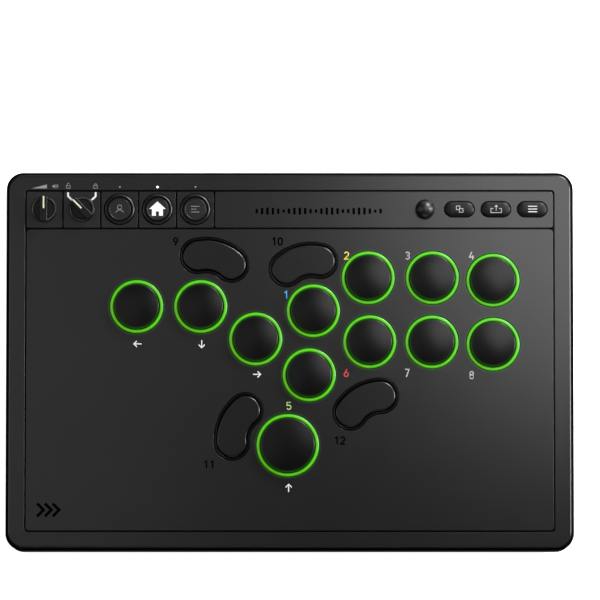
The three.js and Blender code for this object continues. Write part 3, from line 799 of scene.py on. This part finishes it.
def light_guide():
    """Twelve lit collars, and the clear sheet under the panel that they rise from."""
    shell = Shell()
    top, rise, steps = high("light_guide").z, 0.45, 12
    for node in ROUND_CAPS:
        at, inner, outer = middle(node), radius(node) + CAP_GAP, collar_radius(node)
        half = (outer - inner) / 2
        section = [(outer, LEDGE_Z, 0.0), (outer, top - 0.8, 0.1)]
        for k in range(steps + 1):
            a = math.pi * k / steps
            glow = 0.1 + 0.9 * math.sin(a) ** 1.6
            section.append((outer - half + half * math.cos(a), top - rise + rise * math.sin(a), glow))
        section += [(inner, top - 0.8, 0.15), (inner, LEDGE_Z, 0.0)]
        rings = shell.tube([(disc(at.x, at.y, r)(0), z, 0) for r, z, _ in section])
        for ring, (_, _, glow) in zip(rings, section):
            for i in ring:
                shell.glow[i] = glow
    shell.finish = 1
    holes = [disc(middle(n).x, middle(n).y, collar_radius(n) - 0.4, 64) for n in ROUND_CAPS]
    holes += [bean(*place, BEZEL_HALF) for place in KIDNEYS.values()]
    edge_low, edge_high = low("light_guide"), high("light_guide")
    sheet = block(edge_low.x, edge_low.y, edge_high.x, edge_high.y, 4)
    shell.plate(sheet, holes, LEDGE_Z, LEDGE_TOP, 0.2)
    piece("fine_light_guide", shell, "case", [RING, ACRYLIC], ["light_guide"])


def status_lights():
    """Three small lenses in the rim; the one above the home button is lit."""
    y = middle("status_lights").y
    for node, r, glow in zip(MENU_ROUNDS, (0.45, 0.62, 0.45), (0.12, 1.0, 0.12)):
        x = middle(node).x
        shell = Shell()
        dome = [(r * math.cos(a), TOP + 0.12 * math.sin(a)) for a in (0, 0.3, 0.6, 0.9, 1.2, 1.5)]
        shell.lathe(x, y, [(0, TOP - 1), (r, TOP - 1), *dome], 32)
        shell.glow = [glow] * len(shell.points)
        stands_for = ["status_lights"] if node == "home_button" else []
        piece(f"status_lens_{node}", shell, "case", [LAMP], stands_for)


# ---- buttons --------------------------------------------------------------------------------------------

CAP_RISE = 1.0  # of a round cap's crown
CAP_WALL = 1.2
# painted reflection: the rings' light on a cap's edge is painted as emission out to this reach
CAP_PAINTED_REFLECTION_REACH = 0.9  # reach of the rings' light over a cap's edge
FACE_DROP = 0.5  # from a round menu button's rim to the middle of its face
KNOB_R = 6.75
FIN_HALF = 1.85  # half the width of a knob's fin


def round_caps():
    """Hollow caps with a shallow crown and a rounded edge, on a plunger."""
    for node in ROUND_CAPS:
        at, r, top, under = middle(node), radius(node), high(node).z, low(node).z
        shares = (0.93, 0.86, 0.78, 0.68, 0.56, 0.42, 0.28, 0.14, 0)
        crown = [(r * share, top - CAP_RISE * share * share) for share in shares]
        inside, ceiling = r - CAP_WALL, TOP + 1.2
        body = soft(
            [
                (0, under), (2.6, under, 0.4), (2.6, ceiling, 0.5), (inside, ceiling, 0.6),
                (inside, under + 1.2, 0.2), (r, under + 1.2, 0.3), (r, top - CAP_RISE + 0.05, 0.55), crown[0],
            ],
            8,
        )
        shell = Shell()
        shell.lathe(at.x, at.y, body + crown[1:])
        # painted reflection: emission on the cap's edge, fading inwards, stands in for the ring's light
        # mirrored there
        reaches = [math.hypot(x - at.x, y - at.y) for x, y, _ in shell.points]
        shell.glow = [max(0.0, 1 - (r - reach) / CAP_PAINTED_REFLECTION_REACH) for reach in reaches]
        piece(f"fine_{node}", shell, node, [CAP], [node])


def kidney_caps():
    """Kidney caps with a rounded edge, on a flange under the panel."""
    for node, place in KIDNEYS.items():
        shell = Shell()
        shell.plate(bean(*place, KIDNEY_HALF), [], PANEL_Z - 1, high(node).z, 0.9)
        shell.plate(bean(*place, FLANGE_HALF), [], low(node).z + 1.3, PANEL_Z - 0.3, 0.2)
        piece(f"fine_{node}", shell, node, [KIDNEY], [node])


def menu_rounds():
    """A raised rim round a groove, whose floor has a darker, duller finish as painted shade, and a level face
    with a fine step.
    """
    for node in MENU_ROUNDS:
        at, top, under = middle(node), high(node).z, low(node).z
        rim, face, floor = MENU_R - 1.0, MENU_R - 2.05, top - 1.0
        shell = Shell()
        shoulder = [(MENU_R - inset, z) for inset, z in wall(floor - 0.5, top, 0.95, steps=8)]
        section = [*shoulder, (rim, top), (rim, floor - 0.5)]
        shell.tube([(disc(at.x, at.y, reach)(0), z, 0) for reach, z in section])
        side = [(0, floor - 0.2), (face, floor - 0.2), (face, top - 0.55, 0.25)]
        step = [(face - 0.7, top - 0.5, 0.2), (face - 0.8, top - 0.56, 0.05)]
        shell.lathe(at.x, at.y, soft([*side, *step, (0, top - FACE_DROP)]))
        # painted shade: the base, whose top is the groove's floor, gets the darker, duller finish
        shell.finish = 1
        skirt = MENU_R - 0.02
        base = [(0, under), (1.5, under, 0.2), (1.5, under + 1.3), (skirt, under + 1.3, 0.3)]
        shell.lathe(at.x, at.y, soft([*base, (skirt, floor, 0.05), (0, floor)]))
        piece(f"fine_{node}", shell, node, [MENU, RECESS_SHADE], [node])


def pills():
    """Oblong buttons whose tops are rounded all the way across."""
    half, rise, steps = PILL_WIDTH / 2, 1.5, 12
    for node in PILLS:
        top, under = high(node).z, low(node).z
        shares = [math.sin(math.pi / 2 * k / steps) for k in range(1, steps + 1)]
        crown = [(half * (1 - math.sqrt(max(1 - s * s, 0.0002))), top - rise * (1 - s)) for s in shares]
        shell = Shell()
        shell.loft(pill_boundary(node), [(0, under + 1.3), (0, top - rise), *crown])
        piece(f"fine_{node}", shell, node, [PILL], [node])


def fin(at, direction):
    """The outline of a knob's fin: two straight sides, and ends that follow the knob's edge."""

    def at_inset(inset):
        r = KNOB_R - 0.15 - inset
        end = math.degrees(math.asin((FIN_HALF - inset) / r))
        back = direction + 180
        return [
            *arc(at.x, at.y, r, direction - end, direction + end, 8),
            *arc(at.x, at.y, r, back - end, back + end, 8),
        ]

    return at_inset


def knobs():
    """Round base with a grip fin; an inlaid line on the fin points the way the knob is set."""
    for node, direction in (("volume_knob", 90), ("lock_knob", 135)):
        at, top, r = middle(node), high(node).z, KNOB_R
        base = top - 4.3
        shell = Shell()
        profile = soft(
            [
                (0, low(node).z), (2, low(node).z), (2, TOP + 0.4), (r, TOP + 0.4, 0.2), (r, base, 0.5),
                (r - 1.1, base, 1.0), (r - 1.5, base - 0.75, 0.15), (0, base - 0.85),
            ],
            6,
        )
        shell.lathe(at.x, at.y, profile)
        # painted highlight: a ring along the top of the base's edge gets a lighter finish, standing in for
        # the light it catches
        for i, corners in enumerate(shell.faces):
            x, y, z = shell.points[corners[0]]
            reach = math.hypot(x - at.x, y - at.y)
            if r - 1.05 < reach < r - 0.45 and z > base - 0.3:
                shell.finishes[i] = 1  # the light line along the edge of the base
        shell.loft(fin(at, direction), wall(base - 1, top, 0.3, steps=6))
        piece(f"fine_{node}", shell, node, [KNOB, KNOB_PAINTED_HIGHLIGHT], [node])
        c, s = math.cos(math.radians(direction)), math.sin(math.radians(direction))
        shell = Shell()
        ends = [(at.x + reach * c, at.y + reach * s) for reach in (0.0, r - 0.3)]
        shell.ribbon(ends, 0.82, top - 0.2, top + 0.04)
        piece(f"pointer_{node}", shell, node, [POINTER])


def thumb_stick():
    """A domed cap on a thin neck."""
    node = "thumb_stick"
    at, top, under, r = middle(node), high(node).z, low(node).z, radius(node)
    brim, steps = TOP + 2.2, 14
    turns = [math.pi / 2 * k / steps for k in range(steps + 1)]
    dome = [(r * math.cos(a), brim + (top - brim) * math.sin(a)) for a in turns]
    neck = soft([(0, under), (1.8, under, 0.3), (1.8, brim - 0.4, 0.3), (r - 0.5, brim - 0.3, 0.2), dome[0]])
    shell = Shell()
    shell.lathe(at.x, at.y, neck + dome)
    piece("fine_thumb_stick", shell, node, [STICK], [node])


# ---- print and symbols ----------------------------------------------------------------------------------

INK = (TOP - 0.03, TOP + 0.035)  # lowest and highest level of the print
LEGEND_HEIGHT = 4.2
LEGEND_STROKE = 0.58
BLACK_STROKE = 0.78
LEGENDS = {
    "blue": [("1", -2.0, 34.9)],
    "yellow": [("2", 30.0, 55.7)],
    "green": [("5", -0.5, -23.9)],
    "red": [("6", 29.8, -6.5)],
    "grey": [("3", 62.2, 55.7), ("4", 96.1, 55.7), ("7", 61.9, -6.4), ("8", 96.0, -7.6)],
    "black": [("9", -60.3, 63.2), ("10", -6.7, 63.2), ("11", -42.6, -54.9), ("12", 26.3, -42.2)],
}
ARROWS = [(-80.3, 8.9, 180), (-46.5, 8.9, 270), (-17.4, -7.2, 0), (-0.6, -67.3, 90)]


def arrow(x, y, direction, size=4.0, stroke=0.55):
    """The outline of an arrow of one stroke width."""
    tip, back, t = size / 2, 1.6, stroke
    k = t / (2 * math.sqrt(2))
    upper = [(tip - back - k, back - k), (tip - t / 2 - t / math.sqrt(2), t / 2), (-tip, t / 2)]
    outline = [(tip + t / math.sqrt(2), 0), (tip - back + k, back + k), *upper]
    outline += [(u, -v) for u, v in upper[::-1]] + [(tip - back + k, -back - k)]
    c, s = math.cos(math.radians(direction)), math.sin(math.radians(direction))
    return [(x + u * c - v * s, y + u * s + v * c) for u, v in outline]


def legends():
    """Arrows for the directions and plain numerals for the other buttons."""
    shell = Shell()
    for x, y, direction in ARROWS:
        shell.plate(fixed(arrow(x, y, direction)), [], *INK)
    piece("legend_arrows", shell, "case", [WHITE])
    for ink, numerals in LEGENDS.items():
        stroke = BLACK_STROKE if ink == "black" else LEGEND_STROKE
        shell = Shell()
        for digits, x, y in numerals:
            shell.numeral(digits, x, y, LEGEND_HEIGHT, stroke, *INK)
        piece(f"legend_{ink}", shell, "case", [INKS[ink]])


def padlock(shell, x, y, opened):
    """A small padlock: a body with a shackle, which is swung clear when it is open."""
    body = [(x - 1.0, y - 1.3), (x + 1.0, y - 1.3), (x + 1.0, y + 0.1), (x - 1.0, y + 0.1)]
    shell.ribbon(body, 0.26, *INK, closed=True)
    lift = 0.5 if opened else 0.3
    shackle = arc(x, y + 0.1 + lift, 0.65, 180, 20 if opened else 0, 10)
    line = [(x - 0.65, y + 0.1), *shackle] + ([] if opened else [(x + 0.65, y + 0.1)])
    shell.ribbon(line, 0.26, *INK)


def rim_print():
    """The volume wedge and speaker, the two padlocks, and the lock knob's guide lines."""
    volume, lock = middle("volume_knob"), middle("lock_knob")
    y = CASE_HALF_Y - 8.6
    shell = Shell()
    wedge = [(volume.x - 6.5, y), (volume.x + 1.5, y), (volume.x + 1.5, y + 2.1)]
    shell.plate(fixed(wedge), [], *INK)
    cone = [(-1.2, -0.45), (-0.6, -0.45), (0.3, -1.1), (0.3, 1.1), (-0.6, 0.45), (-1.2, 0.45)]
    centre_x, centre_y = volume.x + 5.6, y + 1.1
    shell.plate(fixed([(centre_x + u, centre_y + v) for u, v in cone]), [], *INK)
    for r in (0.9, 1.6):
        shell.ribbon(arc(centre_x + 0.1, centre_y, r, -42, 42, 8), 0.3, *INK)
    padlock(shell, lock.x - 7.2, y + 1.4, True)
    padlock(shell, lock.x + 7.2, y + 1.4, False)
    piece("rim_symbols", shell, "case", [RIM_GREY])
    shell = Shell()
    for side in (-1, 1):
        line = [(7.3, 9.0), (7.3, 7.0), (5.2, 4.9)]
        shell.ribbon([(lock.x + side * u, STRIP_Y + v) for u, v in line], 0.95, *INK)
    piece("lock_guides", shell, "case", [WHITE])


def ornaments():
    """Plain black motifs: a row of level bars on the strip, and three chevrons in the front left corner."""
    shell = Shell()
    for k in range(24):
        x = -17.5 + 2.85 * k
        half = 0.7 + 1.2 * abs(math.sin(0.55 * k + 0.4))
        shell.ribbon([(x, STRIP_Y - 1 - half), (x, STRIP_Y - 1 + half)], 1.25, *INK)
    for k in range(3):
        x, y = -131.5 + 4.1 * k, -78.8
        shell.ribbon([(x - 1.6, y - 3.4), (x + 1.8, y), (x - 1.6, y + 3.4)], 1.5, *INK)
    piece("ornaments", shell, "case", [BLACK])


def menu_symbols():
    """A lit house on the home button, and faint symbols on the two round buttons beside it."""
    face = high("home_button").z - FACE_DROP
    z0, z1 = face - 0.1, face + 0.05
    x, y = middle("home_button").x, STRIP_Y
    shell = Shell()
    house = [
        (-2.9, -3.5), (-0.8, -3.5), (-0.8, -1.2), (0.8, -1.2), (0.8, -3.5), (2.9, -3.5),
        (2.9, 0.1), (4.4, 0.1), (0, 4.1), (-4.4, 0.1), (-2.9, 0.1),
    ]
    shell.plate(fixed([(x + u, y + v) for u, v in house]), [], z0, z1)
    shell.glow = [1.0] * len(shell.points)
    piece("symbol_home", shell, "home_button", [HOUSE])
    x = middle("profile_button").x
    shell = Shell()
    shell.ribbon(arc(x, y + 1.1, 1.1, 0, 345, 20), 0.4, z0, z1)
    shell.ribbon(arc(x, y - 2.6, 2.2, 20, 160, 14), 0.4, z0, z1)
    piece("symbol_profile", shell, "profile_button", [DIM])
    x = middle("macro_button").x
    shell = Shell()
    for k, reach in enumerate((2.2, 1.4, 2.2)):
        v = y + 1.5 - 1.5 * k
        shell.ribbon([(x - 2.2, v), (x - 2.2 + 2 * reach, v)], 0.4, z0, z1)
    piece("symbol_macro", shell, "macro_button", [DIM])


def pill_symbols():
    """Two squares, an arrow out of a tray, and three lines."""
    z1 = high("view_button").z + 0.02
    z0 = z1 - 0.2
    stroke = 0.31

    def at(node, points):
        centre = middle(node)
        return [(centre.x + 0.2 + u, centre.y + v) for u, v in points]

    def square(x, y, half):
        return [(x - half, y - half), (x + half, y - half), (x + half, y + half), (x - half, y + half)]

    shell = Shell()
    shell.ribbon(at("view_button", square(0.75, -0.75, 0.95)), stroke, z0, z1, closed=True)
    corner = [(-0.35, -0.3), (-1.85, -0.3), (-1.85, 1.6), (0.05, 1.6), (0.05, 0.35)]
    shell.ribbon(at("view_button", corner), stroke, z0, z1)
    piece("symbol_view", shell, "view_button", [GREY])
    shell = Shell()
    tray = [(-1.5, 0.3), (-2.8, 0.3), (-2.8, -1.9), (2.8, -1.9), (2.8, 0.3), (1.5, 0.3)]
    shell.ribbon(at("share_button", tray), stroke, z0, z1)
    shell.ribbon(at("share_button", [(0, -0.8), (0, 1.2)]), stroke, z0, z1)
    shell.plate(fixed(at("share_button", [(-0.95, 1.1), (0.95, 1.1), (0, 2.3)])), [], z0, z1)
    piece("symbol_share", shell, "share_button", [GREY])
    shell = Shell()
    for v in (1.45, 0, -1.45):
        shell.ribbon(at("menu_button", [(-2.4, v), (2.4, v)]), 0.48, z0, z1)
    piece("symbol_menu", shell, "menu_button", [LINES])


# ---- what stays as CAD ----------------------------------------------------------------------------------


def inner_parts():
    """Sealed parts keep their CAD shape and get their materials."""
    finishes = {
        "main_board": BOARD,
        "battery_pack": BATTERY,
        "volume_potentiometer": METAL,
        "lock_rotary_switch": METAL,
        "thumb_stick_gimbal": METAL,
        "thumb_stick_base": SWITCH,
    }
    for name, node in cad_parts.items():
        if name.startswith("switch_"):
            finishes[name] = SWITCH
        if name in finishes:
            node.data.materials.clear()
            node.data.materials.append(finishes[name])


# ---- stage ----------------------------------------------------------------------------------------------

VIEW_WIDTH = 0.3170  # of the picture, at the height of the panels
LENS = 350
SENSOR = 36
TILT = math.radians(4.5)  # the camera leans towards the player by this much from straight above
AIM = Vector((5.4, 32.15, TOP)) * MM
FLOOR_REACH = 20
LIT_POINT = Vector((0, 0, 0.03))
LIGHTS = (  # name, place, width, height and radiance
    ("key", (0.198, 0.148, 0.44), 0.214, 0.288, 4.2),
    ("second", (-0.32, 0.036, 0.502), 0.352, 0.632, 0.62),
    ("glint", (0.54, 0.79, 0.5), 0.3, 0.3, 60),
    ("left_glint", (-0.9, 0.0, 0.5), 0.3, 0.5, 2.5),
    ("right_glint", (0.95, 0.1, 0.42), 0.3, 0.5, 30),
    ("front", (0.1, -1.6, 0.2), 1.2, 0.4, 2.4),
    ("back", (-0.1, 1.6, 0.2), 1.2, 0.4, 2.4),
)


def camera():
    data = bpy.data.cameras.new("camera")
    data.lens, data.sensor_width = LENS, SENSOR
    made = bpy.data.objects.new("camera", data)
    bpy.context.scene.collection.objects.link(made)
    distance = VIEW_WIDTH * LENS / SENSOR
    back = Vector((0, -math.sin(TILT), math.cos(TILT)))
    made.location = AIM + back * distance
    made.rotation_euler = (TILT, 0, 0)
    bpy.context.scene.camera = made


def area_light(name, place, width, height, radiance):
    """A soft box that faces the panels; radiance is what a mirror would show of it."""
    data = bpy.data.lights.new(name, "AREA")
    data.shape, data.size, data.size_y = "RECTANGLE", width, height
    data.energy = radiance * width * height * math.pi
    made = bpy.data.objects.new(name, data)
    bpy.context.scene.collection.objects.link(made)
    made.location = place
    made.rotation_euler = (Vector(place) - LIT_POINT).to_track_quat("Z", "Y").to_euler()
    made.visible_camera = False


def floor():
    """A plain pale floor, which the object's gloss doesn't mirror."""
    mesh = bpy.data.meshes.new("floor")
    corners = [(x * FLOOR_REACH, y * FLOOR_REACH, 0) for x, y in ((-1, -1), (1, -1), (1, 1), (-1, 1))]
    mesh.from_pydata(corners, [], [(0, 1, 2, 3)])
    made = bpy.data.objects.new("floor", mesh)
    bpy.context.scene.collection.objects.link(made)
    white = (1, 1, 1, 1)
    paint = {"Base Color": (0.8, 0.8, 0.8, 1), "Roughness": 0.9, "Emission Color": white}
    mesh.materials.append(Finish("floor_paint").shade({**paint, "Emission Strength": 0.97}))
    made.visible_glossy = False
    made.visible_diffuse = False


def studio():
    """White to the camera and almost dark to the object, which the soft boxes light."""
    world = bpy.data.worlds.new("studio")
    bpy.context.scene.world = world
    world.use_nodes = True
    nodes, links = world.node_tree.nodes, world.node_tree.links
    background = nodes["Background"]
    ray = nodes.new("ShaderNodeLightPath")
    strength = nodes.new("ShaderNodeMapRange")
    strength.inputs["To Min"].default_value = 0.02
    strength.inputs["To Max"].default_value = 1.0
    links.new(ray.outputs["Is Camera Ray"], strength.inputs["Value"])
    links.new(strength.outputs["Result"], background.inputs["Strength"])
    background.inputs["Color"].default_value = (1, 1, 1, 1)
    for light in LIGHTS:
        area_light(*light)
    bpy.context.scene.view_settings.view_transform = "Standard"


camera()
floor()
studio()
top_frame()
lower_case()
feet()
screws()
ports()
button_panel()
control_strip()
plain_strip()
light_guide()
status_lights()
round_caps()
kidney_caps()
menu_rounds()
pills()
knobs()
thumb_stick()
legends()
rim_print()
ornaments()
menu_symbols()
pill_symbols()
inner_parts()
